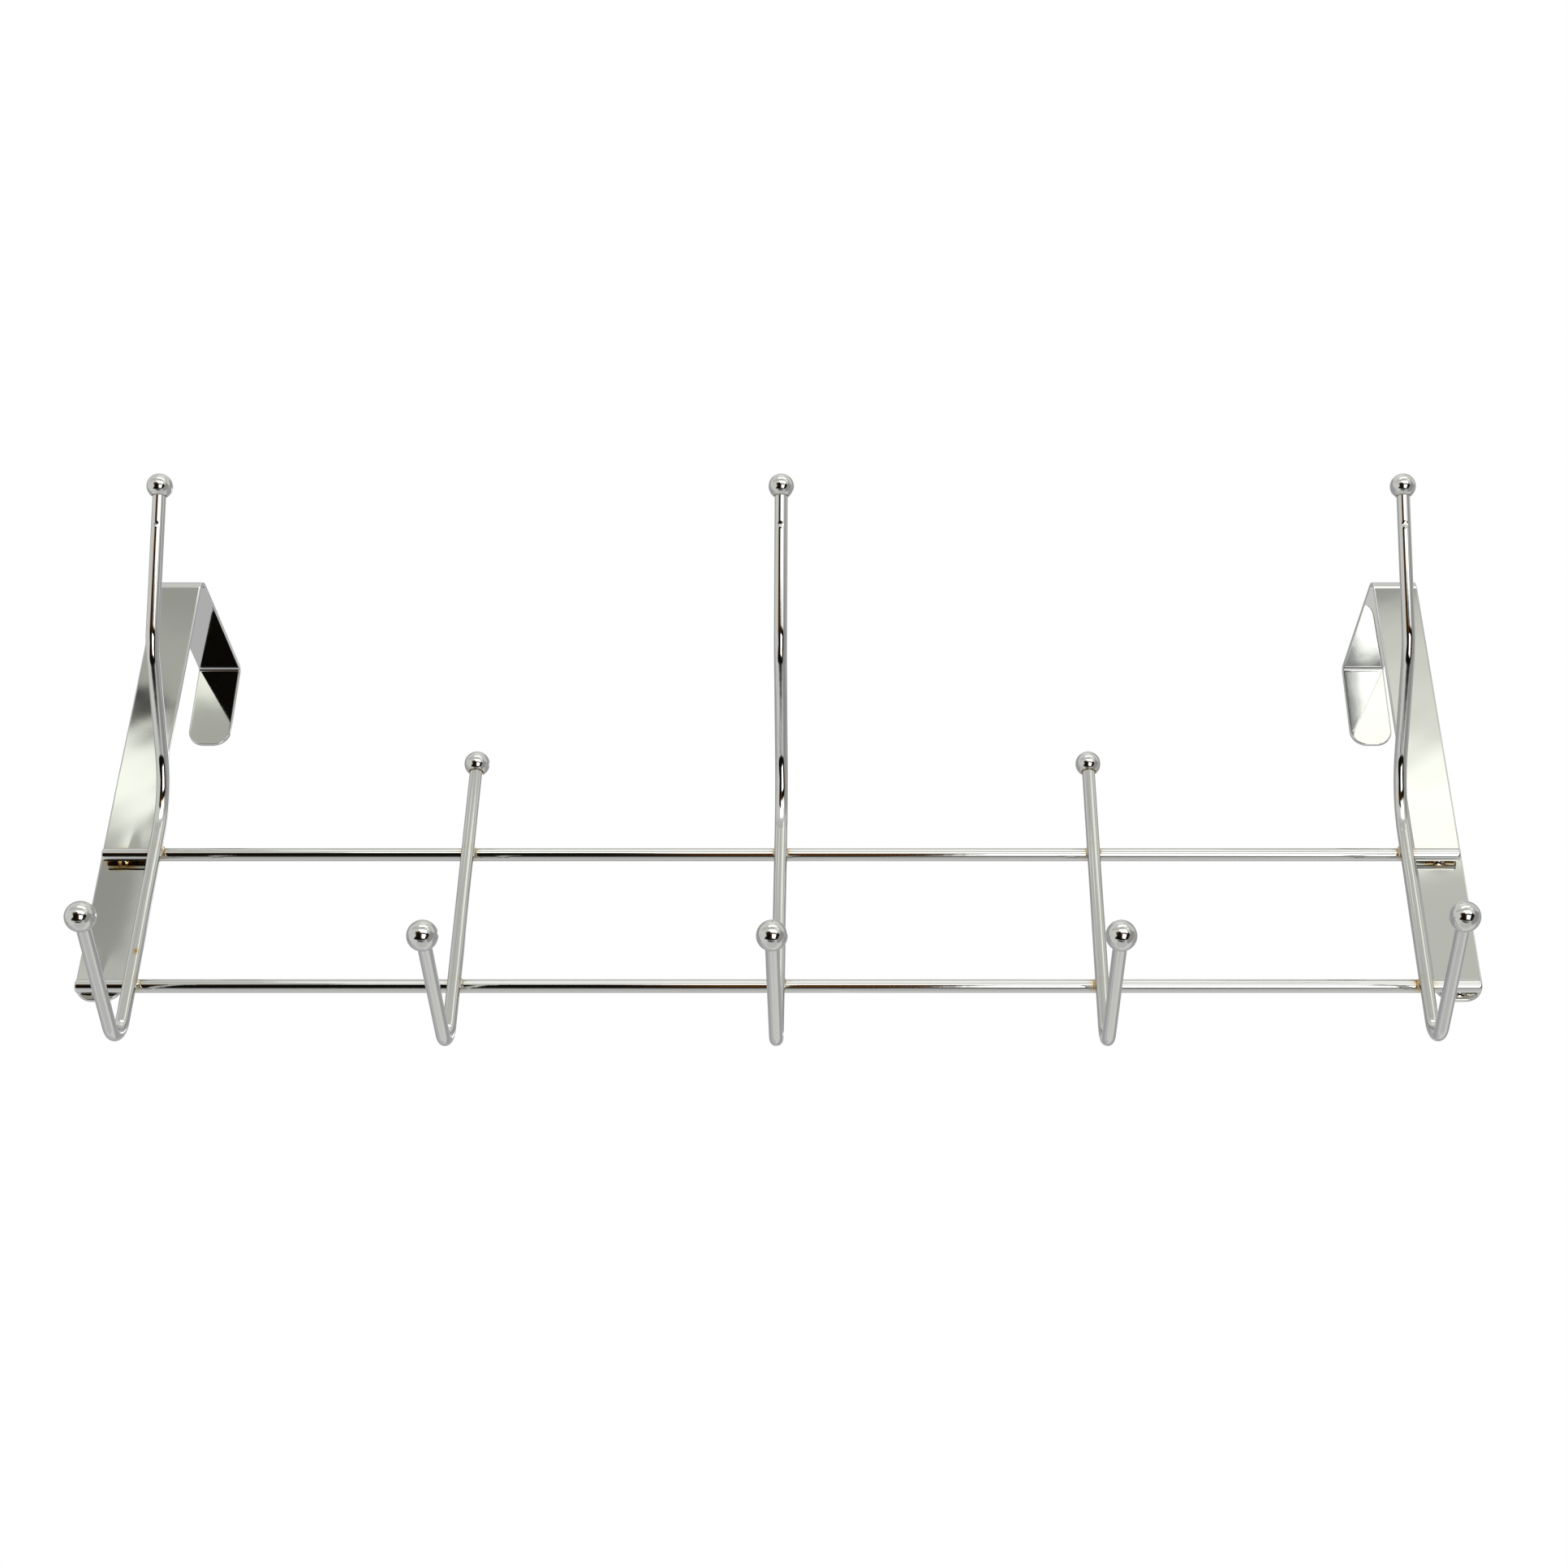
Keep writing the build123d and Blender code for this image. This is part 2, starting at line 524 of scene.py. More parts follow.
@dataclass
class Straps:
    """The two flat strips that fold over the door, with a pip pressed out under each rail."""

    # The strip and its fold, as the CAD has them
    width: float = 13.0
    leg_end: float = -138.5
    door_gap: float = 46.0
    lip_length: float = 27.3
    lip_flare: float = 3.0
    front_bend: float = 3.0
    back_bend: float = 1.0
    end_corner: float = 5.0
    # Rounded edges and the closeness of the grid; bend_turn is in radians
    edge_round: float = 0.28
    edge_steps: int = 4
    corner_steps: int = 14
    across_step: float = 0.26
    along_step: float = 1.0
    bend_turn: float = 0.09
    pip_step: float = 0.22
    pip_margin: float = 2.6
    # Pips and the skirt of strip that is drawn out round them
    pip_height: float = 0.84
    pip_top: float = 0.7
    pip_foot: float = 2.0
    skirt_height: float = 0.08
    skirt_across: float = 2.2
    skirt_along: float = 6.5
    skirt_below: float = 2.0
    # Faint waves along the leg
    wave_height: float = 0.005
    wave_length: float = 21.0
    wave_slants: tuple[float, float] = (0.5, -0.8)
    wave_phases: tuple[float, float] = (1.9, 0.8)
    cross_wave_height: float = 0.003
    cross_wave_pitch: float = 1.7
    wave_fade_in: float = 12.0
    wave_fade_out: float = 30.0
    # Weld stains; stain_marks are for the left and right strap at the top rail
    stain_core: float = 1.4
    stain_rim: float = 4.6
    stain_spread: float = 1.6
    stain_marks: tuple[float, float] = (0.7, 0.25)
    low_stain: float = 0.12
    back_stain: float = 0.3

    def fold(self) -> BentLine:
        """Lay the strip's middle line from the leg's end over the shelf to the lip's end.

        Returns:
            The line, with the lip flared away from the door.
        """
        half = STRAP_T / 2
        lean = math.radians(self.lip_flare)
        back = self.door_gap + half * (1 - math.sin(lean)) / math.cos(lean)
        run = self.lip_length + half
        corners = [
            (-half, self.leg_end),
            (-half, half),
            (back, half),
            (back + run * math.sin(lean), half - run * math.cos(lean)),
        ]
        return BentLine.through(corners, [self.front_bend + half, self.back_bend + half])

    def pip_distances(self) -> np.ndarray:
        """Give the pips' distances along the strip from the leg's end."""
        return np.array(RAIL_HEIGHTS) - self.leg_end

    def rows(self, fold: BentLine) -> np.ndarray:
        """Choose the strip's rows between its rounded ends, close together at bends and pips.

        Args:
            fold: The strip's middle line.

        Returns:
            Their distances along the strip, in rising order.
        """
        first, last = self.end_corner, fold.length - self.end_corner
        bends = [
            (start, start + abs(math.pi / 2 / curve), self.bend_turn / abs(curve))
            for start, curve in zip(fold.starts, fold.curves)
            if curve
        ]
        reach = self.pip_margin
        pips = [(max(first, d - reach), d + reach, self.pip_step) for d in self.pip_distances()]
        return graded((first, last, self.along_step), *bends, *pips)

    def plan(self, inset: float, rows: np.ndarray, length: float) -> tuple[np.ndarray, np.ndarray]:
        """Lay a grid on the flattened strip, drawn in from its outline.

        Each row runs across the strip. In the rounded ends the rows follow the corner's arc, whose
        centre stays and whose radius shrinks by the inset, so the first and last rows are the ends.

        Args:
            inset: How far the grid's edge lies inside the outline.
            rows: Distances of the rows between the ends.
            length: The strip's length.

        Returns:
            Each point's place across the strip and distance along it, as two grids.
        """
        radius = self.end_corner - inset
        arc = np.linspace(0.0, math.pi / 2, self.corner_steps, endpoint=False)
        inner = self.width / 2 - self.end_corner
        ends_half = inner + radius * np.sin(arc)
        half = np.concatenate([ends_half, np.full(len(rows), inner + radius), ends_half[::-1]])
        near = self.end_corner - radius * np.cos(arc)
        along = np.concatenate([near, rows, (length - near)[::-1]])
        columns = np.linspace(-1.0, 1.0, 2 * round(self.width / 2 / self.across_step) + 1)
        return half[:, None] * columns[None, :], np.broadcast_to(
            along[:, None], (len(along), len(columns))
        )

    def pressed_out(self, across: np.ndarray, along: np.ndarray, side: float) -> np.ndarray:
        """Find how far the strip stands out of its flat: its pips and the faint waves of rolling.

        A pip is full at its top and steps smoothly down to its foot; round it the strip is drawn
        out in a low bell curve, longer above it than below. Two slanting sine waves run along the
        leg between the top rail and the fold.

        Args:
            across: Places across the strip.
            along: Distances along it.
            side: -1 for the left strap and 1 for the right, which shifts the waves.

        Returns:
            The heights in millimetres.
        """
        turn = 2 * math.pi / self.wave_length
        slant, cross_slant = self.wave_slants
        phase, cross_phase = self.wave_phases
        height = self.wave_height * np.sin(turn * (along + slant * across) + phase * side)
        cross_turn = self.cross_wave_pitch * turn
        height += self.cross_wave_height * np.sin(
            cross_turn * (along + cross_slant * across) + cross_phase * side
        )
        above_rail, below_fold = self.pip_distances()[0], -self.leg_end
        height *= smooth_step(above_rail, above_rail + self.wave_fade_in, along)
        height *= smooth_step(below_fold, below_fold - self.wave_fade_out, along)
        for place in self.pip_distances():
            way = along - place
            height += self.pip_height * smooth_step(
                self.pip_foot, self.pip_top, np.hypot(across, way)
            )
            reach = np.where(way > 0.0, self.skirt_along, self.skirt_below)
            height += self.skirt_height * np.exp(
                -((across / self.skirt_across) ** 2) - (way / reach) ** 2
            )
        return height

    def stained(self, across: np.ndarray, along: np.ndarray, side: float) -> np.ndarray:
        """Find the weld stain: an oval round each pip, stepping smoothly down to its rim.

        The pip's own top stays bright, and the stain rises from there to the pip's foot.

        Args:
            across: Places across the strip.
            along: Distances along it.
            side: -1 for the left strap and 1 for the right, which is stained less.

        Returns:
            The stain from 0 to 1.
        """
        wide = across / self.stain_spread
        left, right = self.stain_marks
        marks = [
            mark
            * smooth_step(self.stain_rim, self.stain_core, np.hypot(wide, along - d))
            * smooth_step(self.pip_top, self.pip_foot, np.hypot(across, along - d))
            for mark, d in zip((left if side < 0 else right, self.low_stain), self.pip_distances())
        ]
        return np.max(marks, axis=0)

    def edge_profile(self) -> tuple[np.ndarray, np.ndarray]:
        """Round the strip's edge from its outer face to its inner one.

        In the first quarter round a point at angle a is drawn in by the radius times 1 minus the
        sine of a, and it lies the radius times 1 minus the cosine of a below the outer face. The
        second mirrors it.

        Returns:
            The insets from the outline and the heights above the strip's middle.
        """
        half, radius = STRAP_T / 2, self.edge_round
        swing = np.linspace(0.0, math.pi / 2, self.edge_steps + 1)
        by_sine, by_cosine = radius * (1 - np.sin(swing)), radius * (1 - np.cos(swing))
        insets = np.concatenate([by_sine, by_cosine])
        return insets, np.concatenate([half - by_cosine, by_sine - half])

    def surface(self, x: float) -> Surface:
        """Wrap the flat strip round its fold.

        A point u across, s along and h out of the strip's middle goes to the fold's point at s,
        moved h along the fold's left normal and u along X. The outer and inner faces are grids of
        (u, s) at half the thickness, and the rounded edge joins them by its insets and heights.

        Args:
            x: The strap's place along the rails.

        Returns:
            The closed surface.
        """
        side = math.copysign(1.0, x)
        fold = self.fold()
        rows = self.rows(fold)
        insets, heights = self.edge_profile()
        grids = [self.plan(inset, rows, fold.length) for inset in insets]
        shape = grids[0][0].shape
        index = np.arange(shape[0] * shape[1]).reshape(shape)
        edge = np.concatenate([index[0], index[1:, -1], index[-1, -2::-1], index[-2:0:-1, 0]])
        across = [grids[0][0].ravel(), grids[-1][0].ravel()]
        along = [grids[0][1].ravel(), grids[-1][1].ravel()]
        height = [
            heights[0] + self.pressed_out(across[0], along[0], side),
            heights[-1] + self.pressed_out(across[1], along[1], side),
        ]
        for grid, level in zip(grids[1:-1], heights[1:-1]):
            across.append(grid[0].ravel()[edge])
            along.append(grid[1].ravel()[edge])
            height.append(np.full(len(edge), level))
        u, s, h = np.concatenate(across), np.concatenate(along), np.concatenate(height)
        place, heading = fold.at(s)
        points = np.stack(
            [x + u, place[:, 0] - h * np.sin(heading), place[:, 1] + h * np.cos(heading)], axis=1
        )
        cells = np.stack([index[:-1, :-1], index[:-1, 1:], index[1:, 1:], index[1:, :-1]], axis=-1)
        cells = cells.reshape(-1, 4)
        rim = 2 * index.size + np.arange((len(grids) - 2) * len(edge)).reshape(-1, len(edge))
        loops = [edge, *rim, index.size + edge]
        bands = [
            np.stack([a, b, np.roll(b, -1), np.roll(a, -1)], axis=-1)
            for a, b in zip(loops, loops[1:])
        ]
        quads = np.concatenate([cells, cells[:, ::-1] + index.size, *bands])
        empty = np.zeros((0, 3), dtype=int)
        heat = self.stained(u, s, side) * np.where(h < 0.0, self.back_stain, 1.0)
        return Surface(points, quads, empty, heat)

    def build(self, wardrobe: Wardrobe) -> None:
        """Make both straps and dress them.

        Args:
            wardrobe: The materials.
        """
        for side, x in (("left", -STRAP_X), ("right", STRAP_X)):
            surface = self.surface(x)
            add_piece(f"{side}_door_strap", surface, Finish.STRIP, wardrobe, f"strap_{side}")


@dataclass
class Rails:
    """The two straight rails, with the squeezed-out weld metal of each crossing."""

    # The wire, its drawn-in ends and the closeness of its rings
    length: float = 372.6
    end_round: float = 0.45
    end_steps: int = 6
    sides: int = 56
    step: float = 0.5
    # Weld metal: its size, the numbers of its lobes and how far they swell
    weld_width: float = 4.3
    weld_depth: float = 1.7
    weld_sides: int = 40
    weld_rings: int = 14
    weld_lobes: tuple[int, int] = (3, 5)
    weld_swells: tuple[float, float] = (0.07, 0.042)
    weld_turn: float = 1.3
    # Weld stains: their reach, and their strength at each weld from the left
    crossing_stain: float = 2.5
    top_crossing_marks: tuple[float, ...] = (0.4, 0.4, 0.4, 0.4, 0.4)
    bottom_crossing_marks: tuple[float, ...] = (0.35, 0.3, 0.3, 0.6, 0.65)
    strap_stain: tuple[float, float, float] = (5.0, 1.5, 1.5)
    top_strap_marks: tuple[float, float] = (0.6, 0.25)
    bottom_strap_marks: tuple[float, float] = (0.1, 0.1)

    def wire(self, z: float) -> Surface:
        """Carry a ring along the rail, drawn in over a quarter round at each cut end.

        Args:
            z: The rail's height.

        Returns:
            The closed surface.
        """
        half = self.length / 2
        swing = np.linspace(0.0, math.pi / 2, self.end_steps, endpoint=False)
        run = graded((-half + self.end_round, half - self.end_round, self.step))
        lead = -half + self.end_round * (1 - np.cos(swing))
        x = np.concatenate([lead, run, -lead[::-1]])
        drawn = WIRE_R - self.end_round * (1 - np.sin(swing))
        radius = np.concatenate([drawn, np.full(len(run), WIRE_R), drawn[::-1]])
        centres = np.stack([x, np.full(len(x), RAIL_Y), np.full(len(x), z)], axis=1)
        tips = (np.array([-half, RAIL_Y, z]), np.array([half, RAIL_Y, z]))
        radii = np.repeat(radius[:, None], self.sides, axis=1)
        return carried_rings(centres, AXIS_Y, AXIS_Z, radii, tips)

    def weld(self, x: float, z: float, turn: float) -> Surface:
        """Shape the metal squeezed out at a crossing.

        It is a flattened ball about the middle of the two wires: at height t of its half depth the
        radius is its half width times the root of 1 minus t squared, swelled by two lobed waves.

        Args:
            x: The crossing's place along the rails.
            z: Its height.
            turn: The lobes' phase, so that no two welds are alike.

        Returns:
            The closed surface.
        """
        share = np.cos(np.linspace(math.pi, 0.0, self.weld_rings + 2)[1:-1])
        angle = np.linspace(0.0, 2 * math.pi, self.weld_sides, endpoint=False)
        few, many = self.weld_lobes
        broad, small = self.weld_swells
        lobes = 1 + broad * np.sin(few * angle + turn) + small * np.sin(many * angle - 2 * turn)
        radii = self.weld_width / 2 * np.sqrt(1 - share**2)[:, None] * lobes[None, :]
        y = WELD_Y + self.weld_depth / 2 * share
        centres = np.stack([np.full(len(y), x), y, np.full(len(y), z)], axis=1)
        tips = (
            np.array([x, WELD_Y - self.weld_depth / 2, z]),
            np.array([x, WELD_Y + self.weld_depth / 2, z]),
        )
        return carried_rings(centres, AXIS_Z, AXIS_X, radii, tips)

    def surface(
        self, z: float, crossing_marks: tuple[float, ...], strap_marks: tuple[float, float]
    ) -> Surface:
        """Join a rail's wire and welds and mark where weld heat stained them.

        Args:
            z: The rail's height.
            crossing_marks: How strongly each crossing with a hook is stained, from the left.
            strap_marks: How strongly its welds on the left and right strap are stained.

        Returns:
            The surface, whose parts are each closed.
        """
        joined = self.wire(z)
        for number, x in enumerate(HOOK_PLACES):
            joined = joined.joined(self.weld(x, z, self.weld_turn * number + z))
        round_reach, strap_reach = np.full(3, self.crossing_stain), np.array(self.strap_stain)
        stains = [
            mark * heat_near(joined.points, np.array([(x, WELD_Y, z)]), round_reach)
            for x, mark in zip(HOOK_PLACES, crossing_marks)
        ]
        stains += [
            mark * heat_near(joined.points, np.array([(x, RAIL_Y + WIRE_R, z)]), strap_reach)
            for x, mark in zip((-STRAP_X, STRAP_X), strap_marks)
        ]
        joined.heat = np.max(stains, axis=0)
        return joined

    def build(self, wardrobe: Wardrobe) -> None:
        """Make both rails and dress them.

        Args:
            wardrobe: The materials.
        """
        for level, z, crossing_marks, strap_marks in (
            ("top", TOP_RAIL_Z, self.top_crossing_marks, self.top_strap_marks),
            ("bottom", BOTTOM_RAIL_Z, self.bottom_crossing_marks, self.bottom_strap_marks),
        ):
            surface = self.surface(z, crossing_marks, strap_marks)
            add_piece(f"{level}_cross_rail", surface, Finish.WIRE, wardrobe, f"{level}_rail")


class HookForm(Enum):
    """The two forms of double hook: a leaning tall one and a straight short one."""

    TALL = "tall"
    SHORT = "short"


@dataclass(frozen=True)
class DoubleHook:
    """One double hook: its name, place along the rails, lower rise and form."""

    name: str
    x: float
    low_rise: float
    form: HookForm


def out_and_up(start: tuple[float, float], length: float, rise: float) -> tuple[float, float]:
    """Step from a point in the hook's plane, towards the room and up.

    Args:
        start: The point as (Y, Z).
        length: The step's length.
        rise: Its angle above level.

    Returns:
        The new point.
    """
    angle = math.radians(rise)
    return start[0] - length * math.cos(angle), start[1] + length * math.sin(angle)


@dataclass
class Hooks:
    """The five double hooks of bent wire, each with a ball set on both ends."""

    # The wire's corners and bends
    low_corner_z: float = BOTTOM_RAIL_Z - 20.8
    low_bend: float = 6.0
    low_reach: float = 45.3
    lean_corner_z: float = TOP_RAIL_Z + 17.2
    lean_length: float = 42.5
    lean_rise: float = 42.5
    lean_bend: float = 28.0
    tip_length: float = 44.6
    tip_rise: float = 67.2
    tip_bend: float = 22.0
    short_tip_z: float = TOP_RAIL_Z + 27.3
    # The balls, with a bore and its rolled mouth
    upper_ball: float = 7.0
    lower_ball: float = 7.8
    bore_clear: float = 0.05
    bore_past_centre: float = 0.6
    mouth_round: float = 0.3
    mouth_steps: int = 6
    # Closeness of the rings
    sides: int = 56
    step: float = 0.5
    ball_rings: int = 72
    ball_sides: int = 96
    # Stains at the crossings, stain and painted shade in the crevice at the bores' mouths, and a
    # rust
    # spot: its hook, place and size
    crossing_stain: float = 2.5
    crossing_mark: float = 0.4
    mouth_stain_and_shade: float = 0.55
    mouth_stain_and_shade_span: tuple[float, float] = (0.1, -0.05)
    rust_spot: tuple[str, float, float] = ("left_end", 0.6, -127.7)
    rust_reach: tuple[float, float, float] = (0.7, 0.9, 0.9)
    rust_mark: float = 0.42
    # The bending tool's scar: its place, and the reaches along and round the wire of dent and burr
    nick_from_ball: float = 11.1
    nick_turn: float = 0.12
    nick_depth: float = 0.16
    nick_margin: float = 2.0
    nick_step: float = 0.12
    dent_reach: tuple[float, float] = (0.45, 0.6)
    burr_reach: tuple[float, float] = (0.3, 0.5)
    burr_place: tuple[float, float] = (-0.75, -0.2)
    burr_share: float = 0.55
    hooks: tuple[DoubleHook, ...] = (
        DoubleHook("left_end", HOOK_PLACES[0], 23.3, HookForm.TALL),
        DoubleHook("left_inner", HOOK_PLACES[1], 14.7, HookForm.SHORT),
        DoubleHook("centre", HOOK_PLACES[2], 14.7, HookForm.TALL),
        DoubleHook("right_inner", HOOK_PLACES[3], 14.7, HookForm.SHORT),
        DoubleHook("right_end", HOOK_PLACES[4], 23.3, HookForm.TALL),
    )

    def line(self, hook: DoubleHook) -> BentLine:
        """Lay a hook's wire from its lower ball to its upper ball.

        Args:
            hook: The hook.

        Returns:
            The wire's middle line.
        """
        low = (HOOK_Y, self.low_corner_z)
        low_tip = out_and_up(low, self.low_reach, hook.low_rise)
        if hook.form is HookForm.SHORT:
            return BentLine.through([low_tip, low, (HOOK_Y, self.short_tip_z)], [self.low_bend])
        lean = (HOOK_Y, self.lean_corner_z)
        tip = out_and_up(lean, self.lean_length, self.lean_rise)
        high_tip = out_and_up(tip, self.tip_length, self.tip_rise)
        return BentLine.through(
            [low_tip, low, lean, tip, high_tip], [self.low_bend, self.lean_bend, self.tip_bend]
        )

    def nick(self, way: np.ndarray, angle: np.ndarray) -> np.ndarray:
        """Shape the small scar of the bending tool: a dent with a raised burr beside it.

        Each is a bell curve of the ways along and round the wire, measured in its own reaches.

        Args:
            way: Distances along the wire from the scar's middle.
            angle: Angles round the wire from the side that faces the room.

        Returns:
            The change of radius, one row for each distance and one column for each angle.
        """
        round_way = (angle + math.pi) % (2 * math.pi) - math.pi
        on, off = way[:, None], WIRE_R * round_way[None, :]
        dent_on, dent_off = self.dent_reach
        burr_on, burr_off = self.burr_reach
        ahead, aside = self.burr_place
        dent = np.exp(-((on / dent_on) ** 2) - (off / dent_off) ** 2)
        burr = np.exp(-(((on - ahead) / burr_on) ** 2) - ((off - aside) / burr_off) ** 2)
        return self.nick_depth * (self.burr_share * burr - dent)

    def wire(self, hook: DoubleHook) -> Surface:
        """Carry a ring along a hook's line, on into the bores of its balls.

        Args:
            hook: The hook.

        Returns:
            The closed surface.
        """
        line = self.line(hook)
        scarred, scar = hook.form is HookForm.TALL, line.length - self.nick_from_ball
        spans = [(-self.bore_past_centre, line.length + self.bore_past_centre, self.step)]
        if scarred:
            spans.append((scar - self.nick_margin, scar + self.nick_margin, self.nick_step))
        distance = graded(*spans)
        place, heading = line.at(distance)
        x = np.full(len(distance), hook.x)
        centres = np.stack([x, place[:, 0], place[:, 1]], axis=1)
        left = np.stack([np.zeros(len(x)), -np.sin(heading), np.cos(heading)], axis=1)
        radii = np.full((len(distance), self.sides), WIRE_R)
        if scarred:
            angle = np.linspace(0.0, 2 * math.pi, self.sides, endpoint=False)
            radii += self.nick(distance - scar, angle + self.nick_turn)
        made = carried_rings(centres, left, AXIS_X, radii, (centres[0], centres[-1]))
        welds = np.array([(hook.x, WELD_Y, z) for z in RAIL_HEIGHTS])
        reach = np.full(3, self.crossing_stain)
        made.heat = self.crossing_mark * heat_near(made.points, welds, reach)
        spotted, aside, height = self.rust_spot
        if hook.name == spotted:
            spot = np.array([(hook.x + aside, HOOK_Y - WIRE_R, height)])
            rust = self.rust_mark * heat_near(made.points, spot, np.array(self.rust_reach))
            made.heat = np.maximum(made.heat, rust)
        return made

    def ball(self, centre: np.ndarray, outward: np.ndarray, diameter: float) -> Surface:
        """Turn a ball with a bore for its wire.

        The profile runs from the outer pole over the sphere to the bore's mouth, round the mouth's
        lip and up the bore to its blind end; turned about the wire's line it closes on itself. The
        mouth's mark, part weld stain and part painted shade darkening the crevice where the wire
        enters, steps smoothly up from just above the mouth to its edge.

        Args:
            centre: The ball's middle.
            outward: The wire's direction out of its end.
            diameter: The ball's diameter.

        Returns:
            The closed surface.
        """
        radius, bore, lip = diameter / 2, WIRE_R + self.bore_clear, self.mouth_round
        last = math.pi - math.asin((bore + lip) / radius)
        polar = np.linspace(0.0, last, self.ball_rings + 1)[1:]
        mouth = radius * math.cos(last)
        swing = np.linspace(0.0, math.pi / 2, self.mouth_steps + 1)[1:]
        axial = np.concatenate(
            [radius * np.cos(polar), mouth + lip * (1 - np.cos(swing)), [self.bore_past_centre]]
        )
        radial = np.concatenate([radius * np.sin(polar), bore + lip * (1 - np.sin(swing)), [bore]])
        centres = centre + axial[:, None] * outward
        second = np.cross(AXIS_X, outward)
        radii = np.repeat(radial[:, None], self.ball_sides, axis=1)
        tips = (centre + radius * outward, centre + self.bore_past_centre * outward)
        made = carried_rings(centres, second, AXIS_X, radii, tips)
        # Painted shade with the weld stain: darker towards the bore's mouth
        above_mouth = (made.points - centre) @ outward - mouth
        made.heat = self.mouth_stain_and_shade * smooth_step(*self.mouth_stain_and_shade_span, above_mouth)
        return made

    def build(self, wardrobe: Wardrobe) -> None:
        """Make each hook's wire and balls and dress them.

        Args:
            wardrobe: The materials.
        """
        for hook in self.hooks:
            line = self.line(hook)
            piece = f"{hook.name}_{hook.form.value}_hook"
            add_piece(piece, self.wire(hook), Finish.WIRE, wardrobe, f"hook_{hook.name}")
            ends, headings = line.at(np.array([0.0, line.length]))
            levels = (("lower", self.lower_ball, -1.0), ("upper", self.upper_ball, 1.0))
            for (level, diameter, sign), end, heading in zip(levels, ends, headings):
                centre = np.array([hook.x, end[0], end[1]])
                outward = sign * np.array([0.0, math.cos(heading), math.sin(heading)])
                add_piece(
                    f"{hook.name}_{level}_ball_end",
                    self.ball(centre, outward, diameter),
                    Finish.BALL,
                    wardrobe,
                    f"{level}_ball_{hook.name}",
                )


@dataclass(frozen=True)
class Panel:
    """A soft-edged patch of the light tent, by its azimuths and elevations seen from the rack.

    Azimuth 0 looks out of the door towards the room and grows to the right as the camera sees it.
    """

    left: float
    right: float
    low: float
    high: float
    colour: str
    level: float
    edge: float = 2.0

    def cover(self, azimuth: np.ndarray, elevation: np.ndarray) -> np.ndarray:
        """Find how much of the panel shows in each direction: the product of four smooth steps.

        Args:
            azimuth: Azimuths in degrees.
            elevation: Elevations in degrees.

        Returns:
            Shares from 0 to 1.
        """
        half = self.edge / 2
        return (
            smooth_step(self.left - half, self.left + half, azimuth)
            * smooth_step(self.right + half, self.right - half, azimuth)
            * smooth_step(self.low - half, self.low + half, elevation)
            * smooth_step(self.high + half, self.high - half, elevation)
        )

    def light(self) -> np.ndarray:
        """Give the panel's linear light."""
        return np.array(linear(self.colour, self.level))


@dataclass(frozen=True)
class Column:
    """An upright strip of the light tent whose light follows a curve of elevations and levels."""

    left: float
    right: float
    colour: str
    curve: tuple[tuple[float, float], ...]
    edge: float = 0.3

    def cover(self, azimuth: np.ndarray, elevation: np.ndarray) -> np.ndarray:
        """Find how much of the strip shows in each direction, soft at its sides and ends.

        Args:
            azimuth: Azimuths in degrees.
            elevation: Elevations in degrees.

        Returns:
            Shares from 0 to 1.
        """
        frame = Panel(
            self.left, self.right, self.curve[0][0], self.curve[-1][0], self.colour, 1.0, self.edge
        )
        return frame.cover(azimuth, elevation)

    def light(self, elevation: np.ndarray) -> np.ndarray:
        """Read the linear light at each elevation off the curve, straight between its points."""
        places, levels = zip(*self.curve)
        return np.interp(elevation, places, levels)[..., None] * np.array(linear(self.colour))


@dataclass(frozen=True)
class Softbox:
    """A soft lamp, by its azimuths and elevations seen from the rack and the light of its face.

    The chrome shows a lamp's light and that of the tent behind it added together.
    """

    name: str
    left: float
    right: float
    low: float
    high: float
    level: float


